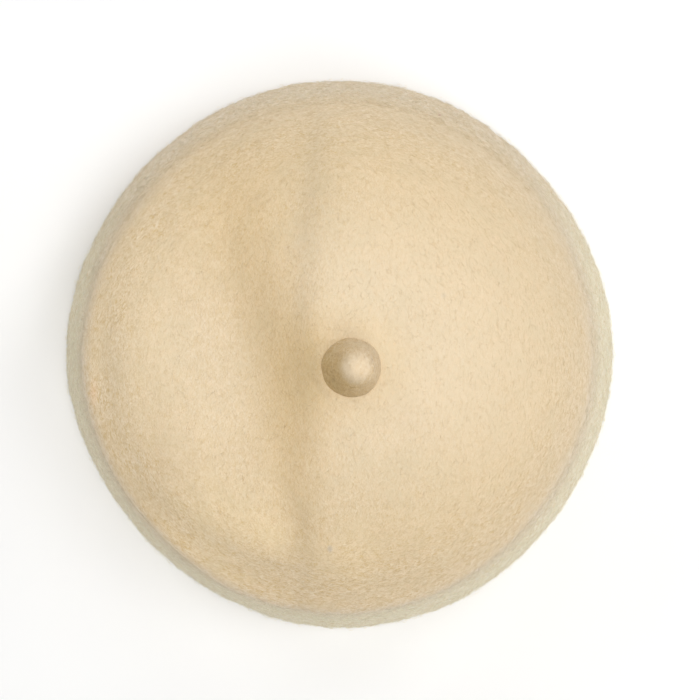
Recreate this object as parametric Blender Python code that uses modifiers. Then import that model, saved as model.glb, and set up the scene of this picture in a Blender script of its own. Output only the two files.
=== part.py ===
"""A soft cream felt fez with a stubby felt nub on its crown.

The cap is one piece of felt: a short wall that leans in towards the top, a shoulder that is crisp on
the near left and soft elsewhere, and a deep round crown whose left half has sunk in beside a fold.
The nub is a second piece of felt that stands on the crown just right of the fold.

Metres, +Z up. The origin is the middle of the rim, on the surface that the cap rests on. +X is the
right of the cap and +Y its far side.
"""

import math

import bmesh
import bpy
from mathutils import Vector

# Felt cap

FELT_THICKNESS = 0.0025
RIM_RADIUS = 0.0970
RIM_UPRIGHT = 0.0040
TOP_HEIGHT = 0.1115
DOME_DEPTH = 0.0850
SHOULDER_RADIUS = 0.0862
SHOULDER_INSET = 0.0030

# The crown has leaned over with wear: how far it falls for each metre to the right and away.
FALL_RIGHT = 0.050
FALL_AWAY = 0.085

# The crown is part of an ellipsoid whose radius differs round the cap, so its shoulder stands high
# and crisp on the near left and runs smoothly into the wall elsewhere. The lip is how far the edge
# of the shoulder stands out.
DOME_COLUMNS = ("heading_deg", "radius", "lip")
DOME_ROWS = (
    (0.0, 0.0900, 0.0000),
    (45.0, 0.0886, 0.0000),
    (90.0, 0.0886, 0.0000),
    (135.0, 0.0940, 0.0000),
    (180.0, 0.0970, 0.0004),
    (225.0, 0.0950, 0.0014),
    (270.0, 0.0910, 0.0018),
    (315.0, 0.0895, 0.0008),
)
LIP_SPREAD = 0.0060

# Slow swells of the outline, seen from above.
OUTLINE_COLUMNS = ("lobes", "swell", "heading_deg")
OUTLINE_ROWS = (
    (2, 0.00038, -62.0),
    (3, 0.00019, 50.0),
    (4, 0.00064, 1.0),
    (6, 0.00016, 3.0),
)

# The fold, from the far side to the near side. Each section has its place along Y, the place of the
# ridge and of the middle of the wall beside it along X, the half width of that wall, how far the
# crown drops across it, and how far the narrow shelf just left of the ridge lies under the ridge.
FOLD_COLUMNS = ("along", "ridge", "wall", "width", "drop", "shelf")
FOLD_ROWS = (
    (0.0740, -0.0035, -0.0340, 0.0185, 0.0160, 0.0058),
    (0.0500, -0.0050, -0.0305, 0.0165, 0.0185, 0.0046),
    (0.0330, -0.0060, -0.0274, 0.0145, 0.0200, 0.0037),
    (0.0170, -0.0076, -0.0237, 0.0134, 0.0205, 0.0033),
    (0.0020, -0.0076, -0.0200, 0.0126, 0.0205, 0.0033),
    (-0.0150, -0.0076, -0.0163, 0.0126, 0.0185, 0.0026),
    (-0.0310, -0.0082, -0.0145, 0.0120, 0.0145, 0.0013),
    (-0.0470, -0.0098, -0.0132, 0.0082, 0.0095, 0.0001),
    (-0.0700, -0.0095, -0.0118, 0.0040, 0.0038, 0.0000),
)
FOLD_REMAINS = 0.25
FOLD_FADE = 0.0520
SHELF_WIDTH = 0.0052
SHELF_FADE = 0.0450

# Nub

NUB_FOOT = Vector((0.0038, -0.0044, 0.0))
NUB_RADIUS = 0.0096
NUB_TIP_RADIUS = 0.0044
NUB_HEIGHT = 0.0245
NUB_TIP_ROUND = 0.0080
NUB_LEAN = math.radians(5.0)
NUB_GAP = 0.0003
SEAT_RADIUS = 0.0114
SEAT_BLEND = 0.0035

# Mesh steps

CAP_SEGMENTS = 80
CROWN_RINGS = 22
SHOULDER_RINGS = 5
WALL_RINGS = 4
NUB_SEGMENTS = 24
NUB_SIDE_RINGS = 4
NUB_TIP_RINGS = 7
MERGE_DISTANCE = 0.00001
FLAT_EDGE_BAND = 0.0010

# Felt colours

CAP_COLOUR = (0.83, 0.69, 0.47, 1.0)
NUB_COLOUR = (0.80, 0.65, 0.43, 1.0)
FELT_ROUGHNESS = 0.95


def blend(low, high, value):
    """Rise smoothly from 0 at low to 1 at high."""
    share = min(max((value - low) / (high - low), 0.0), 1.0)
    return share * share * (3.0 - 2.0 * share)


def curve(start, start_slope, end, end_slope, share):
    """A smooth curve from start to end that leaves and arrives with the given slopes."""
    square = share * share
    cube = square * share
    return (
        (2.0 * cube - 3.0 * square + 1.0) * start
        + (cube - 2.0 * square + share) * start_slope
        + (3.0 * square - 2.0 * cube) * end
        + (cube - square) * end_slope
    )


def section_value(name, place):
    """A size of the fold, read at a place along Y between its sections."""
    column = FOLD_COLUMNS.index(name)
    if place >= FOLD_ROWS[0][0]:
        return FOLD_ROWS[0][column]
    if place <= FOLD_ROWS[-1][0]:
        return FOLD_ROWS[-1][column]
    index = next(i for i in range(len(FOLD_ROWS) - 1) if place >= FOLD_ROWS[i + 1][0])
    start = FOLD_ROWS[index]
    end = FOLD_ROWS[index + 1]
    before = FOLD_ROWS[max(index - 1, 0)]
    after = FOLD_ROWS[min(index + 2, len(FOLD_ROWS) - 1)]
    span = end[0] - start[0]
    start_slope = (end[column] - before[column]) / (end[0] - before[0]) * span
    end_slope = (after[column] - start[column]) / (after[0] - start[0]) * span
    return curve(start[column], start_slope, end[column], end_slope, (place - start[0]) / span)


def dome_value(name, heading):
    """A size of the dome, read at a heading between its rows, which are evenly spaced."""
    column = DOME_COLUMNS.index(name)
    count = len(DOME_ROWS)
    place = (heading % math.tau) / math.tau * count
    index = int(place) % count
    before, start, end, after = (DOME_ROWS[(index + step) % count][column] for step in (-1, 0, 1, 2))
    return curve(start, (end - before) / 2.0, end, (after - start) / 2.0, place - int(place))


def crown_height(radius, heading):
    """Height of the unfolded crown at a distance from the axis."""
    share = radius / dome_value("radius", heading)
    fall = FALL_RIGHT * math.cos(heading) + FALL_AWAY * math.sin(heading)
    return TOP_HEIGHT - DOME_DEPTH * (1.0 - math.sqrt(1.0 - share * share)) - fall * radius


def crown_slope(radius, heading):
    """How steeply the unfolded crown falls outwards at a distance from the axis."""
    dome_radius = dome_value("radius", heading)
    share = radius / dome_radius
    fall = FALL_RIGHT * math.cos(heading) + FALL_AWAY * math.sin(heading)
    return DOME_DEPTH / dome_radius * share / math.sqrt(1.0 - share * share) + fall


def soft_step(value):
    """Rise smoothly from 0 well below zero to 1 well above it."""
    return 0.5 + 0.5 * math.tanh(value)


def fold_drop(x, y):
    """How far the crown has sunk beside the fold at a place seen from above."""
    past_wall = section_value("wall", y) - x
    past_ridge = section_value("ridge", y) - x
    kept = math.exp(-((max(past_wall, 0.0) / FOLD_FADE) ** 2))
    hollow = section_value("drop", y) * soft_step(past_wall / section_value("width", y))
    hollow *= FOLD_REMAINS + (1.0 - FOLD_REMAINS) * kept
    shelf = section_value("shelf", y) * soft_step(past_ridge / SHELF_WIDTH - 1.0)
    shelf *= math.exp(-((max(past_ridge, 0.0) / SHELF_FADE) ** 2))
    return hollow + shelf


def outline_swell(heading):
    """How far the outline stands outside a true circle at a heading."""
    lobes = OUTLINE_COLUMNS.index("lobes")
    swell = OUTLINE_COLUMNS.index("swell")
    middle = OUTLINE_COLUMNS.index("heading_deg")
    return sum(
        row[swell] * math.cos(row[lobes] * (heading - math.radians(row[middle])))
        for row in OUTLINE_ROWS
    )


def natural_height(x, y):
    """Height of the folded crown at a place seen from above, without the nub's seat."""
    return crown_height(math.hypot(x, y), math.atan2(y, x)) - fold_drop(x, y)


def seat_height(x, y):
    """Height of the flat, slightly slanted patch of crown that the nub stands on."""
    right = natural_height(NUB_FOOT.x + NUB_RADIUS, NUB_FOOT.y)
    left = natural_height(NUB_FOOT.x - NUB_RADIUS, NUB_FOOT.y)
    far = natural_height(NUB_FOOT.x, NUB_FOOT.y + NUB_RADIUS)
    near = natural_height(NUB_FOOT.x, NUB_FOOT.y - NUB_RADIUS)
    middle = natural_height(NUB_FOOT.x, NUB_FOOT.y)
    rise_right = (right - left) / (2.0 * NUB_RADIUS)
    rise_away = (far - near) / (2.0 * NUB_RADIUS)
    return middle + rise_right * (x - NUB_FOOT.x) + rise_away * (y - NUB_FOOT.y)


def smooth_turn(start, start_way, end, end_way, steps):
    """Points of a turn from start to end that leaves and arrives along the given directions."""
    length = (end - start).length
    points = []
    for step in range(steps + 1):
        points.append(curve(start, start_way * length, end, end_way * length, step / steps))
    return points


def rounded_corner(before, corner, after, steps):
    """Points of a smooth turn from before to after that never reaches the corner."""
    points = []
    for step in range(steps + 1):
        share = step / steps
        first = before.lerp(corner, share)
        second = corner.lerp(after, share)
        points.append(first.lerp(second, share))
    return points


def plain_section(heading):
    """Distance and height of the unfolded cap's outer side at a heading, from the axis to the rim."""
    dome_radius = dome_value("radius", heading)
    corner = Vector((SHOULDER_RADIUS, crown_height(SHOULDER_RADIUS, heading)))
    crown_edge = SHOULDER_RADIUS - SHOULDER_INSET
    crown_end = Vector((crown_edge, crown_height(crown_edge, heading)))
    crown_way = Vector((1.0, -crown_slope(crown_edge, heading))).normalized()
    wall_end = Vector((RIM_RADIUS, RIM_UPRIGHT))
    wall_way = (wall_end - corner).normalized()
    wall_start = corner + wall_way * (crown_end - corner).length
    points = []
    for ring in range(CROWN_RINGS):
        angle = math.asin(crown_edge / dome_radius) * ring / CROWN_RINGS
        radius = dome_radius * math.sin(angle)
        points.append(Vector((radius, crown_height(radius, heading))))
    points += smooth_turn(crown_end, crown_way, wall_start, wall_way, SHOULDER_RINGS)
    for ring in range(1, WALL_RINGS + 1):
        points.append(wall_start.lerp(wall_end, ring / WALL_RINGS))
    points.append(Vector((RIM_RADIUS, 0.0)))
    lip = dome_value("lip", heading)
    outward_and_up = Vector((0.8, 0.6))
    for point in points:
        distance = (point - corner).length
        point += outward_and_up * lip * math.exp(-((distance / LIP_SPREAD) ** 2))
    return points


def worn_section(heading):
    """The worn cap's outer side at a heading, as points in space from the axis to the rim."""
    shoulder_height = crown_height(SHOULDER_RADIUS, heading)
    widened = 1.0 + outline_swell(heading) / RIM_RADIUS
    points = []
    for distance, height in plain_section(heading):
        grown = 1.0 + (widened - 1.0) * blend(0.0, RIM_RADIUS, distance)
        x = distance * grown * math.cos(heading)
        y = distance * grown * math.sin(heading)
        height -= fold_drop(x, y) * blend(0.0, shoulder_height, height)
        from_nub = math.hypot(x - NUB_FOOT.x, y - NUB_FOOT.y)
        free = blend(SEAT_RADIUS, SEAT_RADIUS + SEAT_BLEND, from_nub)
        if free < 1.0:
            height = seat_height(x, y) + (height - seat_height(x, y)) * free
        points.append(Vector((x, y, height)))
    return points


def nub_profile():
    """The nub's side from its tip down to its foot, and in to the axis."""
    tip = Vector((0.0, 0.0, NUB_HEIGHT))
    tip_corner = Vector((NUB_TIP_RADIUS, 0.0, NUB_HEIGHT))
    foot = Vector((NUB_RADIUS, 0.0, 0.0))
    side_start = tip_corner + (foot - tip_corner).normalized() * NUB_TIP_ROUND
    points = rounded_corner(tip, tip_corner, side_start, NUB_TIP_RINGS)
    for ring in range(1, NUB_SIDE_RINGS + 1):
        points.append(side_start.lerp(foot, ring / NUB_SIDE_RINGS))
    points.append(Vector((0.0, 0.0, 0.0)))
    return points


def collection_named(name):
    """A new collection in the scene."""
    collection = bpy.data.collections.new(name)
    bpy.context.scene.collection.children.link(collection)
    return collection


def felt(name, colour):
    """A dry felt material of one colour."""
    material = bpy.data.materials.new(name)
    material.use_nodes = True
    shader = material.node_tree.nodes["Principled BSDF"]
    shader.inputs["Base Color"].default_value = colour
    shader.inputs["Roughness"].default_value = FELT_ROUGHNESS
    shader.inputs["Metallic"].default_value = 0.0
    return material


def apply_modifiers(piece):
    """Replace a piece's mesh by the one that its modifiers make."""
    graph = bpy.context.evaluated_depsgraph_get()
    graph.update()
    made = bpy.data.meshes.new_from_object(piece.evaluated_get(graph))
    made.name = piece.name
    old = piece.data
    piece.modifiers.clear()
    piece.data = made
    bpy.data.meshes.remove(old)


def turned(name, profile, segments, collection):
    """An object whose mesh is a profile turned once round the Z axis."""
    outline = bpy.data.meshes.new(name)
    edges = [(index, index + 1) for index in range(len(profile) - 1)]
    outline.from_pydata(profile, edges, [])
    piece = bpy.data.objects.new(name, outline)
    collection.objects.link(piece)
    screw = piece.modifiers.new("Turn", "SCREW")
    screw.steps = segments
    screw.render_steps = segments
    screw.use_merge_vertices = True
    screw.merge_threshold = MERGE_DISTANCE
    apply_modifiers(piece)
    return piece


def skinned(name, sections, collection):
    """An object whose mesh is a skin over sections that share their first point."""
    rings = len(sections[0]) - 1
    points = [sections[0][0]]
    for section in sections:
        points += section[1:]
    faces = []
    for index in range(len(sections)):
        here = 1 + index * rings
        after = 1 + (index + 1) % len(sections) * rings
        faces.append((0, here, after))
        for ring in range(rings - 1):
            faces.append((here + ring, here + ring + 1, after + ring + 1, after + ring))
    mesh = bpy.data.meshes.new(name)
    mesh.from_pydata(points, [], faces)
    piece = bpy.data.objects.new(name, mesh)
    collection.objects.link(piece)
    return piece


def level_rim(piece):
    """Press the cut edge of the wall flat on the surface that the cap rests on."""
    for vertex in piece.data.vertices:
        if vertex.co.z < FLAT_EDGE_BAND:
            vertex.co.z = 0.0


def split_into_triangles(piece):
    """Cut every face into triangles, so that none is bent across its middle."""
    mesh = bmesh.new()
    mesh.from_mesh(piece.data)
    bmesh.ops.triangulate(mesh, faces=mesh.faces[:])
    mesh.to_mesh(piece.data)
    mesh.free()


def dress(piece, material):
    """Give a round piece its material and smooth shading."""
    piece.data.materials.clear()
    piece.data.materials.append(material)
    piece.data.shade_smooth()
    piece.data.set_sharp_from_angle(angle=math.radians(50.0))


def make_felt_body(collection):
    """The one-piece felt cap, open underneath."""
    headings = [math.tau * index / CAP_SEGMENTS for index in range(CAP_SEGMENTS)]
    piece = skinned("felt_body", [worn_section(heading) for heading in headings], collection)
    wall = piece.modifiers.new("Felt", "SOLIDIFY")
    wall.thickness = FELT_THICKNESS
    wall.offset = -1.0
    wall.use_even_offset = True
    apply_modifiers(piece)
    level_rim(piece)
    split_into_triangles(piece)
    dress(piece, felt("cream_wool_felt", CAP_COLOUR))
    return piece


def make_nub(collection):
    """The tapered felt peg on the crown, leaning a little to the right."""
    piece = turned("nub", nub_profile(), NUB_SEGMENTS, collection)
    for vertex in piece.data.vertices:
        x = NUB_FOOT.x + vertex.co.x
        y = NUB_FOOT.y + vertex.co.y
        height = vertex.co.z
        vertex.co = (x + height * math.tan(NUB_LEAN), y, seat_height(x, y) + NUB_GAP + height)
    split_into_triangles(piece)
    dress(piece, felt("nub_felt", NUB_COLOUR))
    return piece


def clear_scene():
    """Remove every object that the file opened with."""
    for old in list(bpy.data.objects):
        bpy.data.objects.remove(old, do_unlink=True)


def main():
    """Build the fez."""
    clear_scene()
    fez = collection_named("felt_fez")
    make_felt_body(fez)
    make_nub(fez)


main()
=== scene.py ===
"""Looks of a soft cream felt fez: its felt surface, its nap, the nub on its crown and a plain studio."""

import logging
import math
from collections.abc import Callable
from dataclasses import dataclass, field
from enum import Enum

import bpy
import numpy as np
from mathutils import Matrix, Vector, noise


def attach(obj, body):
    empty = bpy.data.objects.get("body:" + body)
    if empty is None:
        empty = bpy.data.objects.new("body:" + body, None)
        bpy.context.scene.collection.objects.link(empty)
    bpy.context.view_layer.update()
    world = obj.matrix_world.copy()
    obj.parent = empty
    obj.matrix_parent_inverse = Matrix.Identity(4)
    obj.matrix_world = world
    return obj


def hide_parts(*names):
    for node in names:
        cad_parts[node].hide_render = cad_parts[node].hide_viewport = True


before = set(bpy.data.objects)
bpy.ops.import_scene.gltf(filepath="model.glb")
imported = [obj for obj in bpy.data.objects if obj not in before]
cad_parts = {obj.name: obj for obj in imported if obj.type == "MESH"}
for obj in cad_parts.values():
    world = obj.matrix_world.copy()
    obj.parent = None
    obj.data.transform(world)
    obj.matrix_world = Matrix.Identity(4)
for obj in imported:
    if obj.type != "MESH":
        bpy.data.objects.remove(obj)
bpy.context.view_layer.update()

LOG = logging.getLogger("felt_fez")
NEARLY_ZERO = 1e-9
NO_AREA = 1e-20
MERGE_DISTANCE = 0.000001
NOISE_MEAN = 0.5
# Distance from a mark's middle, in its own half widths, within which its tint is full.
MARK_CORE = 0.2

Pair = tuple[float, float]
Triple = tuple[float, float, float]
Colour = Triple
Socket = bpy.types.NodeSocket
Value = Socket | Triple | float
Piece = bpy.types.Object
Mesh = bpy.types.Mesh


class Zone(Enum):
    """A stretch of felt that has a nap piece of its own."""

    CROWN_MIDDLE = "crown_middle"
    CROWN_EDGE = "crown_edge"
    WALL_UPPER = "wall_upper"
    WALL_LOWER = "wall_lower"
    NUB = "nub"


def smooth_step(low: float, high: float | np.ndarray, value: np.ndarray) -> np.ndarray:
    """Rise smoothly from 0 where the value is low to 1 where it is high."""
    share = np.clip((value - low) / (high - low), 0.0, 1.0)
    return share * share * (3.0 - 2.0 * share)


def from_axis(points: np.ndarray, scale: Pair = (1.0, 1.0)) -> np.ndarray:
    """How far points, one in each row, are from the cap's axis once X and Y are scaled."""
    return np.hypot(points[:, 0] * scale[0], points[:, 1] * scale[1])


def lengths(vectors: np.ndarray) -> np.ndarray:
    """Length of each vector along the last axis, which is kept."""
    return np.linalg.norm(vectors, axis=-1, keepdims=True)


def even_shares(count: int) -> np.ndarray:
    """Evenly spaced shares up to 1, along the second of three axes."""
    return (np.arange(1, count + 1) / count)[None, :, None]


def rounded_corner(before: Vector, corner: Vector, after: Vector, steps: int) -> list[Vector]:
    """Points of a smooth turn between two lines.

    Args:
        before: Where the turn leaves the first line.
        corner: Where the lines would meet.
        after: Where the turn joins the second line.
        steps: Number of stretches in the turn.

    Returns:
        The points, with before and after among them.
    """
    points = []
    for step in range(steps + 1):
        share = step / steps
        points.append(before.lerp(corner, share).lerp(corner.lerp(after, share), share))
    return points


def even_points(start: Vector, end: Vector, spacing: float) -> list[Vector]:
    """Points from just past start up to end, about a spacing apart."""
    count = max(round((end - start).length / spacing), 1)
    return [start.lerp(end, step / count) for step in range(1, count + 1)]


def curve(start: np.ndarray, start_slope: np.ndarray, end: np.ndarray, end_slope: np.ndarray,
          share: np.ndarray) -> np.ndarray:
    """A smooth curve that leaves start and arrives at end with the given slopes.

    Args:
        start: Values at share 0.
        start_slope: Slopes there.
        end: Values at share 1.
        end_slope: Slopes there.
        share: How far along to read.

    Returns:
        The values.
    """
    square = share * share
    cube = square * share
    return (
        (2.0 * cube - 3.0 * square + 1.0) * start
        + (cube - 2.0 * square + share) * start_slope
        + (3.0 * square - 2.0 * cube) * end
        + (cube - square) * end_slope
    )


def soft_step(value: np.ndarray) -> np.ndarray:
    """Rise smoothly from 0 well below zero to 1 well above it."""
    return 0.5 + 0.5 * np.tanh(value)


@dataclass(frozen=True)
class FoldSection:
    """One section across the fold in the crown.

    Attributes:
        along: Place of the section along Y.
        ridge: Place of the ridge along X.
        wall: Place of the middle of the wall beside it along X.
        width: Half width of that wall.
        drop: How far the crown drops across the wall.
        shelf: How far the narrow shelf just left of the ridge lies under it.
    """

    along: float
    ridge: float
    wall: float
    width: float
    drop: float
    shelf: float


@dataclass(frozen=True)
class DomeSection:
    """Half a section through the crown, at one of the evenly spaced headings.

    Attributes:
        radius: Radius of the ellipsoid that the crown is part of.
        lip: How far the edge of the shoulder stands out.
    """

    radius: float
    lip: float


@dataclass(frozen=True)
class OutlineSwell:
    """A slow swell of the outline, seen from above.

    Attributes:
        lobes: How many times it swells in one turn.
        swell: How far it stands out.
        heading: Heading of one of its tops, in degrees.
    """

    lobes: int
    swell: float
    heading: float


@dataclass(frozen=True)
class Dent:
    """A soft dent in the crown, or a swelling where its depth is below zero.

    Attributes:
        radius: How far its middle is from the axis.
        heading: Heading of its middle, in degrees.
        half_width: Half width along the radius.
        half_turn: Half width round the axis, in degrees.
        depth: How deep its middle is.
    """

    radius: float
    heading: float
    half_width: float
    half_turn: float
    depth: float


@dataclass(frozen=True)
class CapForm:
    """Sizes and outer surface of the felt cap, within about a millimetre of the solid."""

    felt_thickness: float = 0.0025
    rim_radius: float = 0.0970
    rim_upright: float = 0.0040
    top_height: float = 0.1115
    dome_depth: float = 0.0850
    shoulder_radius: float = 0.0862
    shoulder_inset: float = 0.0030
    fall_right: float = 0.050
    fall_away: float = 0.085
    lip_spread: float = 0.0060
    lip_way: Pair = (0.8, 0.6)
    fold_remains: float = 0.25
    fold_fade: float = 0.0520
    shelf_width: float = 0.0044
    shelf_fade: float = 0.0450
    seat_middle: Pair = (0.0038, -0.0044)
    seat_radius: float = 0.0100
    seat_blend: float = 0.0030
    nub_radius: float = 0.0096
    dome: tuple[DomeSection, ...] = (
        DomeSection(0.0900, 0.0000),
        DomeSection(0.0886, 0.0000),
        DomeSection(0.0886, 0.0000),
        DomeSection(0.0940, 0.0000),
        DomeSection(0.0970, 0.0004),
        DomeSection(0.0950, 0.0014),
        DomeSection(0.0910, 0.0018),
        DomeSection(0.0895, 0.0008),
    )
    outline: tuple[OutlineSwell, ...] = (
        OutlineSwell(2, 0.00038, -62.0),
        OutlineSwell(3, 0.00019, 50.0),
        OutlineSwell(4, 0.00064, 1.0),
        OutlineSwell(6, 0.00016, 3.0),
    )
    fold: tuple[FoldSection, ...] = (
        FoldSection(-0.0700, -0.0095, -0.0118, 0.0040, 0.0038, 0.0000),
        FoldSection(-0.0470, -0.0098, -0.0132, 0.0082, 0.0086, 0.0010),
        FoldSection(-0.0310, -0.0082, -0.0145, 0.0116, 0.0134, 0.0022),
        FoldSection(-0.0150, -0.0076, -0.0163, 0.0124, 0.0177, 0.0033),
        FoldSection(0.0020, -0.0076, -0.0200, 0.0126, 0.0200, 0.0037),
        FoldSection(0.0170, -0.0076, -0.0237, 0.0134, 0.0205, 0.0033),
        FoldSection(0.0330, -0.0060, -0.0274, 0.0145, 0.0200, 0.0037),
        FoldSection(0.0500, -0.0050, -0.0305, 0.0165, 0.0185, 0.0046),
        FoldSection(0.0740, -0.0035, -0.0340, 0.0185, 0.0160, 0.0058),
    )

    def fold_value(self, name: str, place: np.ndarray) -> np.ndarray:
        """A size of the fold, read between its sections on one smooth curve.

        Args:
            name: Name of the size in FoldSection.
            place: Places along Y.

        Returns:
            The size at each place.
        """
        along = np.array([section.along for section in self.fold])
        value = np.array([getattr(section, name) for section in self.fold])
        slope = np.empty(len(value))
        slope[0] = (value[1] - value[0]) / (along[1] - along[0])
        slope[-1] = (value[-1] - value[-2]) / (along[-1] - along[-2])
        slope[1:-1] = (value[2:] - value[:-2]) / (along[2:] - along[:-2])
        place = np.clip(place, along[0], along[-1])
        index = np.clip(np.searchsorted(along, place) - 1, 0, len(along) - 2)
        span = along[index + 1] - along[index]
        return curve(value[index], slope[index] * span, value[index + 1], slope[index + 1] * span,
                     (place - along[index]) / span)

    def dome_value(self, name: str, heading: np.ndarray) -> np.ndarray:
        """A size of the dome, read between its sections on one smooth closed curve.

        Args:
            name: Name of the size in DomeSection.
            heading: Headings, in radians.

        Returns:
            The size at each heading.
        """
        value = np.array([getattr(section, name) for section in self.dome])
        place = np.mod(heading, math.tau) / math.tau * len(value)
        index = place.astype(int) % len(value)
        before, start, end, after = (value[(index + step) % len(value)] for step in (-1, 0, 1, 2))
        return curve(start, (end - before) / 2.0, end, (after - start) / 2.0, place - np.floor(place))

    def fall(self, heading: np.ndarray) -> np.ndarray:
        """How steeply the crown as a whole leans down towards a heading."""
        return self.fall_right * np.cos(heading) + self.fall_away * np.sin(heading)

    def crown_height(self, radius: np.ndarray, heading: np.ndarray) -> np.ndarray:
        """Height of the unfolded crown at distances from the axis.

        Args:
            radius: The distances.
            heading: The heading of each, in radians.

        Returns:
            The height at each.
        """
        share = radius / self.dome_value("radius", heading)
        sunk = self.dome_depth * (1.0 - np.sqrt(np.maximum(1.0 - share * share, 0.0)))
        return self.top_height - sunk - self.fall(heading) * radius

    def crown_slope(self, radius: np.ndarray, heading: np.ndarray) -> np.ndarray:
        """How steeply the unfolded crown falls outwards at distances from the axis.

        Args:
            radius: The distances.
            heading: The heading of each, in radians.

        Returns:
            The slope at each.
        """
        dome_radius = self.dome_value("radius", heading)
        share = radius / dome_radius
        return self.dome_depth / dome_radius * share / np.sqrt(1.0 - share * share) + self.fall(heading)

    def fold_drop(self, x: np.ndarray, y: np.ndarray) -> np.ndarray:
        """How far the crown has sunk beside the fold.

        Args:
            x: Places along X, seen from above.
            y: Places along Y.

        Returns:
            How far it has sunk at each place.
        """
        past_wall = self.fold_value("wall", y) - x
        past_ridge = self.fold_value("ridge", y) - x
        kept = np.exp(-((np.maximum(past_wall, 0.0) / self.fold_fade) ** 2))
        hollow = self.fold_value("drop", y) * soft_step(past_wall / self.fold_value("width", y))
        hollow *= self.fold_remains + (1.0 - self.fold_remains) * kept
        shelf = self.fold_value("shelf", y) * soft_step(past_ridge / self.shelf_width - 1.0)
        return hollow + shelf * np.exp(-((np.maximum(past_ridge, 0.0) / self.shelf_fade) ** 2))

    def outline_swell(self, heading: np.ndarray) -> np.ndarray:
        """How far the outline stands outside a true circle.

        Args:
            heading: Headings, in radians.

        Returns:
            How far it stands out at each.
        """
        total = np.zeros_like(heading)
        for row in self.outline:
            total += row.swell * np.cos(row.lobes * (heading - math.radians(row.heading)))
        return total

    def from_nub(self, x: np.ndarray, y: np.ndarray) -> np.ndarray:
        """How far places seen from above are from the middle of the nub's foot."""
        return np.hypot(x - self.seat_middle[0], y - self.seat_middle[1])

    def natural_height(self, x: np.ndarray, y: np.ndarray) -> np.ndarray:
        """Height of the folded crown at places seen from above, without the nub's seat."""
        return self.crown_height(np.hypot(x, y), np.arctan2(y, x)) - self.fold_drop(x, y)

    def seat_height(self, x: np.ndarray, y: np.ndarray) -> np.ndarray:
        """Height of the flat, slightly slanted patch of crown that the nub stands on.

        Args:
            x: Places along X.
            y: Places along Y.

        Returns:
            The height of the patch at each place.
        """
        middle_x, middle_y = self.seat_middle
        steps = self.nub_radius * np.array([[0, 0], [1, 0], [-1, 0], [0, 1], [0, -1]])
        height = self.natural_height(middle_x + steps[:, 0], middle_y + steps[:, 1])
        rise_right = (height[1] - height[2]) / (2.0 * self.nub_radius)
        rise_away = (height[3] - height[4]) / (2.0 * self.nub_radius)
        return height[0] + rise_right * (x - middle_x) + rise_away * (y - middle_y)

    def plain_sections(self, heading: np.ndarray, rings: tuple[int, int, int, int]) -> np.ndarray:
        """The unfolded cap's outer side at each heading, from the axis to the rim.

        Args:
            heading: Headings, in radians.
            rings: Numbers of rings on the crown, the shoulder, the wall and the rim.

        Returns:
            Distance and height of each point, with one row of points for each heading.
        """
        crown_rings, shoulder_rings, wall_rings, rim_rings = rings
        heading = heading[:, None]
        ones = np.ones_like(heading)
        dome_radius = self.dome_value("radius", heading)
        crown_edge = (self.shoulder_radius - self.shoulder_inset) * ones
        corner = np.stack([self.shoulder_radius * ones,
                           self.crown_height(self.shoulder_radius * ones, heading)], axis=2)
        crown_end = np.stack([crown_edge, self.crown_height(crown_edge, heading)], axis=2)
        crown_way = np.stack([ones, -self.crown_slope(crown_edge, heading)], axis=2)
        crown_way /= lengths(crown_way)
        wall_end = np.stack([self.rim_radius * ones, self.rim_upright * ones], axis=2)
        wall_way = wall_end - corner
        wall_way /= lengths(wall_way)
        wall_start = corner + wall_way * lengths(crown_end - corner)
        angle = np.arcsin(crown_edge / dome_radius) * np.arange(crown_rings)[None] / crown_rings
        radius = dome_radius * np.sin(angle)
        crown = np.stack([radius, self.crown_height(radius, heading)], axis=2)
        length = lengths(wall_start - crown_end)
        share = (np.arange(shoulder_rings + 1) / shoulder_rings)[None, :, None]
        turn = curve(crown_end, crown_way * length, wall_start, wall_way * length, share)
        wall = wall_start + (wall_end - wall_start) * even_shares(wall_rings)
        left = 1.0 - even_shares(rim_rings)
        rim = wall_end * np.array([1.0, 0.0]) + wall_end * np.array([0.0, 1.0]) * left
        points = np.concatenate([crown, turn, wall, rim], axis=1)
        away = lengths(points - corner)
        lip = self.dome_value("lip", heading)[:, :, None] * np.exp(-((away / self.lip_spread) ** 2))
        return points + lip * np.array(self.lip_way)

    def worn_sections(self, heading: np.ndarray, rings: tuple[int, int, int, int]) -> np.ndarray:
        """The worn cap's outer side at each heading, from the axis to the rim.

        Args:
            heading: Headings, in radians.
            rings: Numbers of rings on the crown, the shoulder, the wall and the rim.

        Returns:
            Points in space, with one row of points for each heading.
        """
        plain = self.plain_sections(heading, rings)
        distance, height = plain[:, :, 0], plain[:, :, 1]
        turn = heading[:, None]
        shoulder_height = self.crown_height(np.full_like(turn, self.shoulder_radius), turn)
        swell = self.outline_swell(turn) / self.rim_radius
        grown = 1.0 + swell * smooth_step(0.0, self.rim_radius, distance)
        x = distance * grown * np.cos(turn)
        y = distance * grown * np.sin(turn)
        height = height - self.fold_drop(x, y) * smooth_step(0.0, shoulder_height, height)
        free = smooth_step(self.seat_radius, self.seat_radius + self.seat_blend, self.from_nub(x, y))
        seat = self.seat_height(x, y)
        return np.stack([x, y, seat + (height - seat) * free], axis=2)


@dataclass(frozen=True)
class Oval:
    """An oval patch of the crown, seen from above."""

    middle: Pair
    radii: Pair

    def distance(self, points: np.ndarray) -> np.ndarray:
        """How far each point is from the middle, with the oval's edge at 1."""
        return np.hypot(*((points[:, :2] - self.middle) / self.radii).T)


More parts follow.
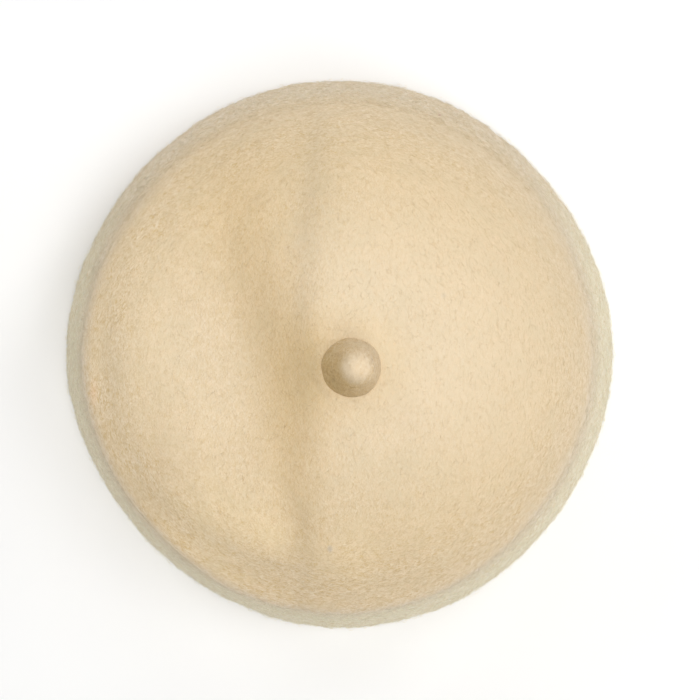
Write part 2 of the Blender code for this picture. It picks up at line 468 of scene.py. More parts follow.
@dataclass(frozen=True)
class CapWearAndShading:
    """How the cap's felt differs from place to place, seen from above: how matted it is, and its painted
    shading, a deeper and warmer tone for painted shade and a paler and cooler one for painted bounce light
    off the floor.

    A stretch is two distances from the axis: where something starts and where it is full.

    Attributes:
        everywhere: Warmth that the whole cap has.
        at_edge: Painted shade, a deeper and warmer tone added towards the edge of the crown, where it
            slopes down from the light.
        edge: Stretch over which that comes in.
        edge_scale: Factors on X and Y, by which it comes in further at some sides.
        wall: Stretch over which the felt of the wall takes over.
        at_wall: Share of the deeper and warmer tone that is left on the wall.
        in_fold: Painted shade, a deeper and warmer tone added on the fold's wall, which faces away from the
            light.
        fold_shift: How far right of the wall's middle it is strongest, in half widths of the wall.
        fold_far: Places along Y where the painted shade of the fold's far half has faded and where it is
            full.
        fold_near: The same two places of its near half.
        in_crook: Painted shade, a deeper and warmer tone added in the tight crook of the fold beside the
            nub.
        crook: The crook.
        at_nub: Painted shade, a deeper and warmer tone added round the nub.
        nub_reach: How far from the nub's middle it has faded.
        at_rim: Painted bounce light off the floor: how much paler and cooler the felt is made at the rim.
        rim: Stretch over which it grows paler.
        far_rim: Share of that which is left on the far side.
        far_side: Sines of the headings between which the far side begins.
        smooth: The patch that is rubbed smooth.
        smooth_edge: Distances in that patch between which the felt is matted again.
        worn_gain: How much rougher it is there.
        rough: Stretch over which the felt grows rougher still.
        rough_scale: Factors on X and Y, by which that comes in further at some sides.
        rough_gain: How much rougher it is there.
        rough_least: Share of that which the smooth patch has too.
        wall_gain: How much rougher the wall is than the crown.
    """

    everywhere: float = 0.10
    at_edge: float = 0.50
    edge: Pair = (0.0150, 0.0850)
    edge_scale: Pair = (0.75, 1.15)
    wall: Pair = (0.0860, 0.0940)
    at_wall: float = 0.20
    in_fold: float = 0.64
    fold_shift: float = -0.10
    fold_far: Pair = (0.0920, 0.0150)
    fold_near: Pair = (-0.0750, -0.0200)
    in_crook: float = 0.42
    crook: Oval = Oval((-0.0120, -0.0030), (0.0100, 0.0190))
    at_nub: float = 0.25
    nub_reach: float = 0.0260
    at_rim: float = 1.00
    rim: Pair = (0.0825, 0.0930)
    far_rim: float = 0.10
    far_side: Pair = (0.2, 0.9)
    smooth: Oval = Oval((0.0400, 0.0110), (0.0520, 0.0640))
    smooth_edge: Pair = (0.35, 1.30)
    worn_gain: float = 0.53
    rough: Pair = (0.0450, 0.0840)
    rough_scale: Pair = (0.93, 1.10)
    rough_gain: float = 1.45
    rough_least: float = 0.6
    wall_gain: float = 1.60

    def painted_shading(self, points: np.ndarray, form: CapForm) -> np.ndarray:
        """Painted shading at each point: how far the felt is given a deeper and warmer tone, which beyond a
        small even share is painted shade.

        Args:
            points: Places on the cap, one in each row.
            form: Sizes of the cap.

        Returns:
            Shares up to about 1, and below zero where the felt is made paler and cooler for painted bounce
            light.
        """
        x, y = points[:, 0], points[:, 1]
        radius = from_axis(points)
        edge = smooth_step(*self.edge, from_axis(points, self.edge_scale))
        across = (x - form.fold_value("wall", y)) / form.fold_value("width", y) - self.fold_shift
        fold = np.exp(-across * across) * smooth_step(*self.fold_far, y) * smooth_step(*self.fold_near, y)
        nub = smooth_step(self.nub_reach, form.nub_radius, form.from_nub(x, y))
        # Painted shade: a deeper, warmer tone towards the crown's edge, on the fold's wall, in its crook
        # and round the nub.
        share = self.everywhere + self.at_edge * edge + self.in_fold * fold + self.at_nub * nub
        share += self.in_crook * np.exp(-self.crook.distance(points) ** 2)
        share *= 1.0 - (1.0 - self.at_wall) * smooth_step(*self.wall, radius)
        # Painted bounce light off the floor: paler, cooler felt towards the rim, weaker on the far side.
        far = smooth_step(*self.far_side, y / np.maximum(radius, NEARLY_ZERO))
        pale = self.at_rim * (1.0 - (1.0 - self.far_rim) * far)
        return share - pale * smooth_step(*self.rim, radius)

    def matting(self, points: np.ndarray) -> np.ndarray:
        """How matted the felt is at each point, from 0 where it is rubbed smooth.

        Args:
            points: Places on the cap, one in each row.

        Returns:
            One number for each place, up to about 2 on the crown and higher on the wall.
        """
        worn_and_shaded = smooth_step(*self.smooth_edge, self.smooth.distance(points))
        rough = smooth_step(*self.rough, from_axis(points, self.rough_scale))
        rough *= self.rough_gain * (self.rough_least + (1.0 - self.rough_least) * worn_and_shaded)
        return self.worn_gain * worn_and_shaded + rough + self.wall_gain * smooth_step(*self.wall, from_axis(points))


@dataclass(frozen=True)
class Lump:
    """One size of unevenness in the felt, with a seed that sets its pattern apart from the others."""

    width: float
    height: float
    seed: float


@dataclass(frozen=True)
class Mark:
    """A stain or fleck on the felt, or a broad faint patch of painted light or painted shade, with a tint
    that fades to its radii.
    """

    middle: Pair
    radii: Pair
    tint: Colour
    strength: float


# Tint of the painted shade on the nub's sides.
NUB_PAINTED_SHADE_TINT = (0.745, 0.645, 0.40)
# Tints of the broad patches of painted light and painted shade.
PAINTED_LIGHT_PATCH = (1.09, 1.10, 1.09)
PAINTED_SHADE_PATCH = (0.90, 0.91, 0.90)
# The small stains and flecks, then broad patches of painted light and painted shade, and last a painted
# shade in the crook of the fold beside the nub.
CAP_MARKS = (
    Mark((-0.0831, -0.0133), (0.0022, 0.0060), (1.10, 0.88, 0.73), 0.35),
    Mark((-0.0032, -0.0642), (0.0012, 0.0017), (0.55, 0.66, 0.97), 0.45),
    Mark((0.0350, 0.0842), (0.0008, 0.0008), (0.59, 0.31, 0.31), 0.60),
    Mark((0.0340, 0.0192), (0.0012, 0.0014), (0.79, 0.85, 0.97), 0.35),
    Mark((0.0047, -0.0152), (0.0011, 0.0006), (0.65, 0.56, 0.49), 0.35),
    Mark((0.0141, -0.0100), (0.0013, 0.0013), (0.81, 0.72, 0.62), 0.35),
    # Broad patches of painted light and painted shade that brighten or darken stretches of the crown.
    Mark((-0.0500, 0.0480), (0.0320, 0.0340), PAINTED_LIGHT_PATCH, 0.18),
    Mark((-0.0680, 0.0020), (0.0220, 0.0480), PAINTED_LIGHT_PATCH, 0.35),
    Mark((-0.0400, -0.0560), (0.0280, 0.0230), PAINTED_LIGHT_PATCH, 0.85),
    Mark((0.0180, 0.0060), (0.0190, 0.0190), PAINTED_SHADE_PATCH, 0.45),
    Mark((0.0140, -0.0440), (0.0320, 0.0240), PAINTED_SHADE_PATCH, 0.30),
    Mark((-0.0070, 0.0560), (0.0170, 0.0290), PAINTED_SHADE_PATCH, 0.60),
    Mark((-0.0240, -0.0600), (0.0100, 0.0130), PAINTED_LIGHT_PATCH, 0.35),
    Mark((0.0050, -0.0660), (0.0110, 0.0140), PAINTED_LIGHT_PATCH, 0.60),
    Mark((-0.0105, -0.0620), (0.0050, 0.0130), PAINTED_SHADE_PATCH, 0.45),
    # Painted shade in the crook of the fold beside the nub.
    Mark((-0.0105, -0.0030), (0.0110, 0.0180), (0.74, 0.73, 0.66), 0.32),
)


@dataclass(frozen=True)
class Cloud:
    """Soft noise with cells of a width, and finer layers in them whose strength is the roughness."""

    width: float
    detail: float
    roughness: float = 0.5


@dataclass(frozen=True)
class Overtone:
    """Another tone of the felt, a share of which comes up where a cloud is dense."""

    colour: Colour
    cloud: Cloud
    dense: Pair
    share: float


class PointValue(Enum):
    """A number that a felt mesh keeps at each of its points, for its material to read."""

    # Painted shade and painted bounce light, kept as one tone at each point.
    PAINTED_SHADING = "felt_painted_shading"
    MATTING = "felt_matting"
    HAIR_TONE = "hair_tone"


class NodeWriter:
    """Adds and joins the nodes of one material. A value is an output, or a plain number or colour."""

    def __init__(self, name: str) -> None:
        """Start a material that has only its place on the object.

        Args:
            name: Name of the material.
        """
        self.material = bpy.data.materials.new(name)
        self.material.use_nodes = True
        self.tree = self.material.node_tree
        self.tree.nodes.clear()
        self.place = self.add("ShaderNodeTexCoord", {}).outputs["Object"]

    def add(self, kind: str, feeds: dict[int | str, object], **settings: object) -> bpy.types.Node:
        """Add a node.

        Args:
            kind: Blender's name for the kind of node.
            feeds: Value of each input that is fed, by its number or name.
            settings: The node's own properties.

        Returns:
            The node.
        """
        node = self.tree.nodes.new(kind)
        for name, value in settings.items():
            setattr(node, name, value)
        for key, value in feeds.items():
            socket = node.inputs[key]
            if isinstance(value, Socket):
                self.tree.links.new(value, socket)
            else:
                socket.default_value = (*value, 1.0) if socket.type == "RGBA" else value
        return node

    def maths(self, operation: str, first: Value, second: Value = 0.0) -> Socket:
        """The result of one of Blender's operations on two values."""
        return self.add("ShaderNodeMath", {0: first, 1: second}, operation=operation).outputs[0]

    def plus(self, first: Value, second: Value) -> Socket:
        """The sum of two values."""
        return self.maths("ADD", first, second)

    def minus(self, first: Value, second: Value) -> Socket:
        """The first value less the second."""
        return self.maths("SUBTRACT", first, second)

    def times(self, first: Value, second: Value) -> Socket:
        """The product of two values."""
        return self.maths("MULTIPLY", first, second)

    def scaled(self, vector: Socket, scale: Triple, turn: float = 0.0) -> Socket:
        """A vector turned about Z and then scaled along each axis.

        Args:
            vector: The vector.
            scale: Factor along X, Y and Z.
            turn: Angle about Z, in radians.

        Returns:
            The output with the result.
        """
        sizes = tuple(1.0 / part for part in scale)
        feeds = {"Vector": vector, "Rotation": (0.0, 0.0, turn), "Scale": sizes}
        return self.add("ShaderNodeMapping", feeds, vector_type="TEXTURE").outputs["Vector"]

    def noise(self, vector: Socket, detail: float, roughness: float = 0.5) -> Socket:
        """Soft noise round 0.5, with one cell for each unit of the vector."""
        feeds = {"Vector": vector, "Scale": 1.0, "Detail": detail, "Roughness": roughness}
        return self.add("ShaderNodeTexNoise", feeds).outputs["Fac"]

    def cloud(self, cloud: Cloud) -> Socket:
        """A cloud's value at the place on the object."""
        scale = 1.0 / cloud.width
        return self.noise(self.scaled(self.place, (scale, scale, scale)), cloud.detail, cloud.roughness)

    def spread(self, value: Socket, low: float, high: float) -> Socket:
        """Map low to 0 and high to 1, and hold what lies beyond."""
        feeds = {"Value": value, "From Min": low, "From Max": high}
        return self.add("ShaderNodeMapRange", feeds, clamp=True).outputs["Result"]

    def mixed(self, share: Socket, first: Value, second: Value, blend: str = "MIX") -> Socket:
        """The second colour over the first, as far as a share says."""
        feeds = {0: share, 6: first, 7: second}
        return self.add("ShaderNodeMix", feeds, data_type="RGBA", blend_type=blend).outputs[2]

    def point_value(self, kind: PointValue) -> Socket:
        """A number that the mesh keeps at each of its points."""
        return self.add("ShaderNodeAttribute", {}, attribute_name=kind.value).outputs["Fac"]

    def worn_and_shaded(self, colour: Socket, warm: Colour, pale: Colour) -> Socket:
        """The colour with painted shading: warmer for painted shade, paler and cooler for painted bounce
        light, as the mesh says at each point.

        Args:
            colour: The plain colour.
            warm: Tint of painted shade, where the mesh's tone is 1.
            pale: Tint of painted bounce light, where the mesh's tone is -1.

        Returns:
            The output with the painted shading.
        """
        painted_shading = self.point_value(PointValue.PAINTED_SHADING)
        colour = self.mixed(painted_shading, colour, warm, "MULTIPLY")
        return self.mixed(self.times(painted_shading, -1.0), colour, pale, "MULTIPLY")

    def marked(self, colour: Socket, mark: Mark) -> Socket:
        """The colour with a mark laid over it.

        Args:
            colour: The colour under the mark.
            mark: The mark.

        Returns:
            The output with the marked colour.
        """
        off = self.place
        for operation, value in (
            ("SUBTRACT", (*mark.middle, 0.0)),
            ("MULTIPLY", (1.0 / mark.radii[0], 1.0 / mark.radii[1], 0.0)),
        ):
            off = self.add("ShaderNodeVectorMath", {0: off, 1: value}, operation=operation).outputs[0]
        length = self.add("ShaderNodeVectorMath", {0: off}, operation="LENGTH").outputs["Value"]
        share = self.times(self.spread(length, 1.0, MARK_CORE), mark.strength)
        return self.mixed(share, colour, mark.tint, "MULTIPLY")

    def finished(self, feeds: dict[str, object]) -> bpy.types.Material:
        """Close the material with its shader.

        Args:
            feeds: Value of each of the shader's inputs that is fed, by its name.

        Returns:
            The material.
        """
        shader = self.add("ShaderNodeBsdfPrincipled", feeds)
        self.add("ShaderNodeOutputMaterial", {"Surface": shader.outputs["BSDF"]})
        return self.material


@dataclass(frozen=True)
class FeltFinish:
    """Matted wool: thin strands over fine grain, soft blotches, brown flecks and a dull sheen.

    Attributes:
        overtones: Other tones, each laid over the ones before.
        strand_length: Spacing of the bends along a strand.
        strand_band: How thick a strand is, in values of the noise.
        strand_turns: How far the raised and the sunk strands are turned from their way, in radians.
        grains: Each cloud of grain and its contrast.
        smooth_share: Share of the pattern that shows where the felt is rubbed smooth.
        downward: How fast the strands' pattern moves down the wall.
        rounding: Distances from the axis between which the strands turn round the cap.
        mean_radius: Distance from the axis at which their length is true.
    """

    name: str
    light: Colour = (0.866, 0.763, 0.624)
    deep: Colour = (0.665, 0.502, 0.273)
    # The next two tints are painted shade, where the felt is made deeper and warmer, and painted bounce
    # light off the floor, where it is made paler and cooler.
    painted_shade_tint: Colour = (1.000, 0.912, 0.732)
    painted_bounce_tint: Colour = (1.115, 1.195, 1.225)
    overtones: tuple[Overtone, ...] = (
        Overtone((0.720, 0.615, 0.440), Cloud(0.0110, 3.0), (0.42, 0.72), 0.45),
        Overtone((0.790, 0.613, 0.405), Cloud(0.0022, 3.0, 0.6), (0.48, 0.72), 0.38),
        Overtone((0.600, 0.420, 0.250), Cloud(0.0009, 1.0), (0.66, 0.80), 0.40),
    )
    strand_width: float = 0.0008
    strand_length: float = 0.0030
    strand_band: float = 0.07
    strand_turns: Pair = (0.30, -0.36)
    strand_contrast: float = 0.34
    grains: tuple[tuple[Cloud, float], ...] = (
        (Cloud(0.00060, 2.0, 0.7), 0.40),
        (Cloud(0.0022, 3.0, 0.6), 0.32),
    )
    grain_range: Pair = (0.25, 0.75)
    smooth_share: float = 0.28
    bump_height: float = 0.00006
    downward: float = 0.60
    rounding: Pair = (0.0500, 0.0760)
    mean_radius: float = 0.0800
    marks: tuple[Mark, ...] = ()
    roughness: float = 0.95
    specular: float = 0.15
    sheen: float = 0.30
    sheen_roughness: float = 0.45
    sheen_tint: Colour = (1.0, 0.98, 0.94)

    def strands(self, nodes: NodeWriter) -> Socket:
        """Thin strands that run along Y in the middle and round the cap near its edge.

        One set lies over the felt and one is sunk in it, each turned a little from the main way.

        Args:
            nodes: Writer of the material.

        Returns:
            The output, 1 on a raised strand, -1 on a sunk one and 0 between them.
        """
        x, y, z = nodes.add("ShaderNodeSeparateXYZ", {0: nodes.place}).outputs
        radius = nodes.maths("SQRT", nodes.plus(nodes.times(x, x), nodes.times(y, y)))
        outward = nodes.minus(radius, nodes.times(z, self.downward))
        along = nodes.times(nodes.maths("ARCTAN2", y, x), self.mean_radius)
        polar = nodes.add("ShaderNodeCombineXYZ", {0: outward, 1: along}).outputs[0]
        near_edge = nodes.spread(radius, *self.rounding)
        in_middle = nodes.minus(1.0, near_edge)
        raised, sunk = (
            nodes.maths("MAXIMUM", nodes.times(self.strand_set(nodes, nodes.place, turn), in_middle),
                        nodes.times(self.strand_set(nodes, polar, turn), near_edge))
            for turn in self.strand_turns
        )
        return nodes.minus(raised, sunk)

    def strand_set(self, nodes: NodeWriter, place: Socket, turn: float) -> Socket:
        """Thin curving lines that run along the second axis of a place.

        Args:
            nodes: Writer of the material.
            place: Output with the place to read.
            turn: How far the lines are turned from that axis, in radians.

        Returns:
            The output, 1 on a line and 0 between them.
        """
        across, along = 1.0 / self.strand_width, 1.0 / self.strand_length
        level = nodes.noise(nodes.scaled(place, (across, along, along), turn), 1.0)
        off_line = nodes.maths("ABSOLUTE", nodes.minus(level, NOISE_MEAN))
        return nodes.spread(off_line, self.strand_band, 0.0)

    def material(self) -> bpy.types.Material:
        """Write the material, which reads the painted shading and how matted the felt is at each point.

        Returns:
            The material.
        """
        nodes = NodeWriter(self.name)
        fibre = nodes.times(self.strands(nodes), self.strand_contrast)
        for cloud, contrast in self.grains:
            grain = nodes.minus(nodes.spread(nodes.cloud(cloud), *self.grain_range), NOISE_MEAN)
            fibre = nodes.plus(fibre, nodes.times(grain, contrast))
        matted = nodes.times(nodes.point_value(PointValue.MATTING), 1.0 - self.smooth_share)
        fibre = nodes.times(fibre, nodes.plus(matted, self.smooth_share))
        colour = nodes.mixed(nodes.plus(fibre, NOISE_MEAN), self.deep, self.light)
        for tone in self.overtones:
            share = nodes.times(nodes.spread(nodes.cloud(tone.cloud), *tone.dense), tone.share)
            colour = nodes.mixed(share, colour, tone.colour)
        # Painted shade and painted bounce light, from the tone that the mesh keeps at each point.
        colour = nodes.worn_and_shaded(colour, self.painted_shade_tint, self.painted_bounce_tint)
        for mark in self.marks:
            colour = nodes.marked(colour, mark)
        bump = nodes.add("ShaderNodeBump", {"Strength": 1.0, "Distance": self.bump_height, "Height": fibre})
        return nodes.finished({
            "Base Color": colour,
            "Roughness": self.roughness,
            "Specular IOR Level": self.specular,
            "Sheen Weight": self.sheen,
            "Sheen Roughness": self.sheen_roughness,
            "Sheen Tint": self.sheen_tint,
            "Normal": bump.outputs["Normal"],
        })


@dataclass(frozen=True)
class NapFinish:
    """Loose wool hairs, each of one tone between two."""

    name: str
    pale: Colour = (0.837, 0.724, 0.527)
    dark: Colour = (0.784, 0.661, 0.467)
    painted_shade_tint: Colour = FeltFinish.painted_shade_tint
    painted_bounce_tint: Colour = FeltFinish.painted_bounce_tint
    own_share: float = 0.8
    uneven: Cloud = Cloud(1.0 / 900.0, 2.0)
    roughness: float = 0.90
    specular: float = 0.15
    sheen: float = 0.30
    sheen_roughness: float = 0.40

    def material(self) -> bpy.types.Material:
        """Write the material, which reads each hair's own tone and the painted shading of the felt at its
        root.

        Returns:
            The material.
        """
        nodes = NodeWriter(self.name)
        own = nodes.times(nodes.point_value(PointValue.HAIR_TONE), self.own_share)
        share = nodes.plus(own, nodes.times(nodes.cloud(self.uneven), 1.0 - self.own_share))
        colour = nodes.mixed(share, self.dark, self.pale)
        # The hairs take the painted shade and painted bounce light of the felt at their roots.
        return nodes.finished({
            "Base Color": nodes.worn_and_shaded(colour, self.painted_shade_tint, self.painted_bounce_tint),
            "Roughness": self.roughness,
            "Specular IOR Level": self.specular,
            "Sheen Weight": self.sheen,
            "Sheen Roughness": self.sheen_roughness,
        })


@dataclass(frozen=True)
class FloorFinish:
    """A plain pale matt board."""

    name: str = "pale_board"
    pale: Colour = (0.955, 0.955, 0.950)
    paler: Colour = (0.965, 0.965, 0.960)
    uneven: Cloud = Cloud(1.0 / 6.0, 3.0)
    roughness: float = 0.9
    specular: float = 0.1

    def material(self) -> bpy.types.Material:
        """Write the material.

        Returns:
            The material.
        """
        nodes = NodeWriter(self.name)
        colour = nodes.mixed(nodes.cloud(self.uneven), self.pale, self.paler)
        feeds = {"Base Color": colour, "Roughness": self.roughness, "Specular IOR Level": self.specular}
        return nodes.finished(feeds)


def new_piece(name: str, data: bpy.types.ID) -> Piece:
    """Put a new object into the scene.

    Args:
        name: Name of the object.
        data: Its mesh, light or camera.

    Returns:
        The object.
    """
    piece = bpy.data.objects.new(name, data)
    bpy.context.scene.collection.objects.link(piece)
    return piece


def meshed_piece(name: str, points: list, edges: list, faces: list) -> Piece:
    """Put a new object with a mesh of its own into the scene.

    Args:
        name: Name of the object and its mesh.
        points: Points of the mesh.
        edges: Its loose edges, as pairs of point numbers.
        faces: Its faces, as rows of point numbers.

    Returns:
        The object.
    """
    mesh = bpy.data.meshes.new(name)
    mesh.from_pydata(points, edges, faces)
    return new_piece(name, mesh)


def turned_piece(name: str, profile: list[Vector], segments: int) -> Piece:
    """An object whose mesh is a profile turned once round the Z axis.

    Args:
        name: Name of the piece.
        profile: Points in the XZ plane, down the outer side.
        segments: Number of steps in the turn.

    Returns:
        The object, with its modifiers applied.
    """
    edges = [(index, index + 1) for index in range(len(profile) - 1)]
    piece = meshed_piece(name, profile, edges, [])
    screw = piece.modifiers.new("Turn", "SCREW")
    screw.steps = segments
    screw.render_steps = segments
    screw.use_merge_vertices = True
    screw.merge_threshold = MERGE_DISTANCE
    apply_modifiers(piece)
    return piece


def skinned_piece(name: str, sections: np.ndarray) -> Piece:
    """An object whose mesh is a skin over sections that share their first point.

    Args:
        name: Name of the piece.
        sections: Points in space, with one row of points for each section, in order round the axis.

    Returns:
        The object.
    """
    count, rings = sections.shape[0], sections.shape[1] - 1
    points = np.concatenate([sections[:1, 0], sections[:, 1:].reshape(-1, 3)])
    here = 1 + np.arange(count) * rings
    after = np.roll(here, -1)
    fan = np.stack([np.zeros(count, int), here, after], axis=1)
    ring = np.arange(rings - 1)
    near, next_near = here[:, None] + ring, after[:, None] + ring
    quads = np.stack([near, near + 1, next_near + 1, next_near], axis=2).reshape(-1, 4)
    return meshed_piece(name, points.tolist(), [], fan.tolist() + quads.tolist())


def apply_modifiers(piece: Piece) -> None:
    """Replace a piece's mesh by the one that its modifiers make.

    Args:
        piece: The piece, which keeps no modifiers.
    """
    bpy.context.view_layer.update()
    graph = bpy.context.evaluated_depsgraph_get()
    made = bpy.data.meshes.new_from_object(piece.evaluated_get(graph))
    made.name = piece.name
    old = piece.data
    piece.modifiers.clear()
    piece.data = made
    bpy.data.meshes.remove(old)


def read_rows(values: bpy.types.bpy_prop_collection, name: str) -> np.ndarray:
    """Read three numbers of each item of a mesh.

    Args:
        values: The items.
        name: Name of the property that holds the numbers.

    Returns:
        The numbers, with one row for each item.
    """
    rows = np.empty(len(values) * 3, np.float32)
    values.foreach_get(name, rows)
    return rows.reshape(-1, 3).astype(float)


def mesh_points(mesh: Mesh) -> np.ndarray:
    """The points of a mesh, one in each row."""
    return read_rows(mesh.vertices, "co")


def set_mesh_points(mesh: Mesh, points: np.ndarray) -> None:
    """Move the points of a mesh to the rows of an array."""
    mesh.vertices.foreach_set("co", points.astype(np.float32).ravel())
    mesh.update()


def mesh_normals(mesh: Mesh) -> np.ndarray:
    """The normals at the points of a mesh, one in each row."""
    return read_rows(mesh.vertex_normals, "vector")


def keep_value(mesh: Mesh, kind: PointValue, values: np.ndarray) -> None:
    """Keep a number at each point of a mesh."""
    layer = mesh.attributes.new(kind.value, "FLOAT", "POINT")
    layer.data.foreach_set("value", values.astype(np.float32))


def fill_mesh(mesh: Mesh, points: np.ndarray, faces: np.ndarray) -> None:
    """Fill an empty mesh with points and three-sided faces.

    Args:
        mesh: The empty mesh.
        points: Points, one in each row.
        faces: Three point numbers in each row.
    """
    mesh.vertices.add(len(points))
    mesh.vertices.foreach_set("co", points.astype(np.float32).ravel())
    mesh.loops.add(faces.size)
    mesh.loops.foreach_set("vertex_index", faces.astype(np.int32).ravel())
    mesh.polygons.add(len(faces))
    mesh.polygons.foreach_set("loop_start", np.arange(0, faces.size, 3, dtype=np.int32))
    mesh.update(calc_edges=True)
    mesh.validate()


def lump_heights(points: np.ndarray, lumps: tuple[Lump, ...]) -> np.ndarray:
    """How far the felt stands out at each point.

    Args:
        points: Places on the felt, one in each row.
        lumps: The sizes of unevenness to add up.

    Returns:
        One height for each place.
    """
    total = np.zeros(len(points))
    for lump in lumps:
        places = points * (1.0 / lump.width) + lump.seed
        total += lump.height * np.array([noise.noise(place) for place in places.tolist()])
    return total


def dent_depths(points: np.ndarray, dents: tuple[Dent, ...]) -> np.ndarray:
    """How far the felt is pressed in at each point.

    Args:
        points: Places on the felt, one in each row.
        dents: The dents to add up.

    Returns:
        One depth for each place.
    """
    heading = np.arctan2(points[:, 1], points[:, 0])
    total = np.zeros(len(points))
    for dent in dents:
        off = (from_axis(points) - dent.radius) / dent.half_width
        turn = np.mod(heading - math.radians(dent.heading) + math.pi, math.tau) - math.pi
        turn /= math.radians(dent.half_turn)
        total += dent.depth * np.exp(-off * off - turn * turn)
    return total


def finish_piece(piece: Piece, material: bpy.types.Material) -> None:
    """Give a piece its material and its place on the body.

    Args:
        piece: The piece.
        material: What it is made of.
    """
    piece.data.materials.clear()
    piece.data.materials.append(material)
    piece.data.shade_smooth()
    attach(piece, "root")


@dataclass
class FeltCap:
    """The one-piece felt cap, open underneath.

    Attributes:
        rings: Numbers of rings on the crown, the shoulder, the wall and the rim.
        rim_band: Height under which a point belongs to the cut edge.
        seat_fade: Distances from the nub, in radii of its seat, between which the lumps come in.
        wall_lumps: Lumps that only the wall has.
        outer_points: Number of points on the outer side, which come first in the mesh.
    """

    form: CapForm
    wear_and_shading: CapWearAndShading
    finish: FeltFinish
    segments: int = 400
    rings: tuple[int, int, int, int] = (70, 14, 22, 3)
    rim_band: float = 0.0005
    seat_fade: Pair = (0.8, 1.6)
    lumps: tuple[Lump, ...] = (
        Lump(0.0160, 0.00035, 3.1),
        Lump(0.0070, 0.00020, 11.7),
        Lump(0.0030, 0.00005, 23.9),
    )
    wall_lumps: tuple[Lump, ...] = (
        Lump(0.0045, 0.00030, 41.3),
        Lump(0.0026, 0.00025, 57.1),
    )
    dents: tuple[Dent, ...] = (
        Dent(0.0772, 248.0, 0.0050, 13.0, 0.0013),
        Dent(0.0795, 230.0, 0.0055, 10.0, 0.0009),
        Dent(0.0855, 249.0, 0.0035, 12.0, -0.0009),
        Dent(0.0680, 250.0, 0.0065, 11.0, -0.0008),
        Dent(0.0581, 254.5, 0.0060, 5.0, 0.0007),
        Dent(0.0795, 184.0, 0.0040, 12.0, 0.0007),
        Dent(0.0850, 184.0, 0.0030, 12.0, -0.0005),
    )
    outer_points: int = field(init=False, default=0)

    def build(self) -> Piece:
        """Skin, roughen and thicken the felt.

        Returns:
            The finished piece.
        """
        heading = np.arange(self.segments) / self.segments * math.tau
        piece = skinned_piece("felt_shell", self.form.worn_sections(heading, self.rings))
        self.outer_points = len(piece.data.vertices)
        self.roughen(piece.data)
        wall = piece.modifiers.new("Felt", "SOLIDIFY")
        wall.thickness = self.form.felt_thickness
        wall.offset = -1.0
        wall.use_even_offset = False
        apply_modifiers(piece)
        self.press_rim(piece.data)
        points = mesh_points(piece.data)
        # Painted shade and painted bounce light of the cap, kept as one tone at each point.
        keep_value(piece.data, PointValue.PAINTED_SHADING, self.painted_shading(points))
        keep_value(piece.data, PointValue.MATTING, self.wear_and_shading.matting(points))
        return piece

    def painted_shading(self, points: np.ndarray) -> np.ndarray:
        """Painted shading at each point: a deeper and warmer tone for painted shade, a paler and cooler one
        for painted bounce light.
        """
        return self.wear_and_shading.painted_shading(points, self.form)

    def roughen(self, mesh: Mesh) -> None:
        """Move the outer side in and out by the felt's lumps and dents, but not under the nub.

        Args:
            mesh: Mesh of the outer side.
        """
        points = mesh_points(mesh)
        heights = lump_heights(points, self.lumps) - dent_depths(points, self.dents)
        under, free = (self.form.seat_radius * factor for factor in self.seat_fade)
        heights *= smooth_step(under, free, self.form.from_nub(points[:, 0], points[:, 1]))
        wall = smooth_step(self.form.shoulder_radius, self.form.rim_radius, from_axis(points))
        heights += wall * lump_heights(points, self.wall_lumps)
        set_mesh_points(mesh, points + mesh_normals(mesh) * heights[:, None])

    def press_rim(self, mesh: Mesh) -> None:
        """Press the cut edge of the wall flat on the surface that the cap rests on.

        Args:
            mesh: Mesh of the thickened felt.
        """
        points = mesh_points(mesh)
        points[:, 2] = np.where(points[:, 2] < self.rim_band, 0.0, points[:, 2])
        set_mesh_points(mesh, points)

    def dress(self, piece: Piece) -> None:
        """Give the cap its felt and let it stand for the solid."""
        finish_piece(piece, self.finish.material())
        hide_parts("felt_body")


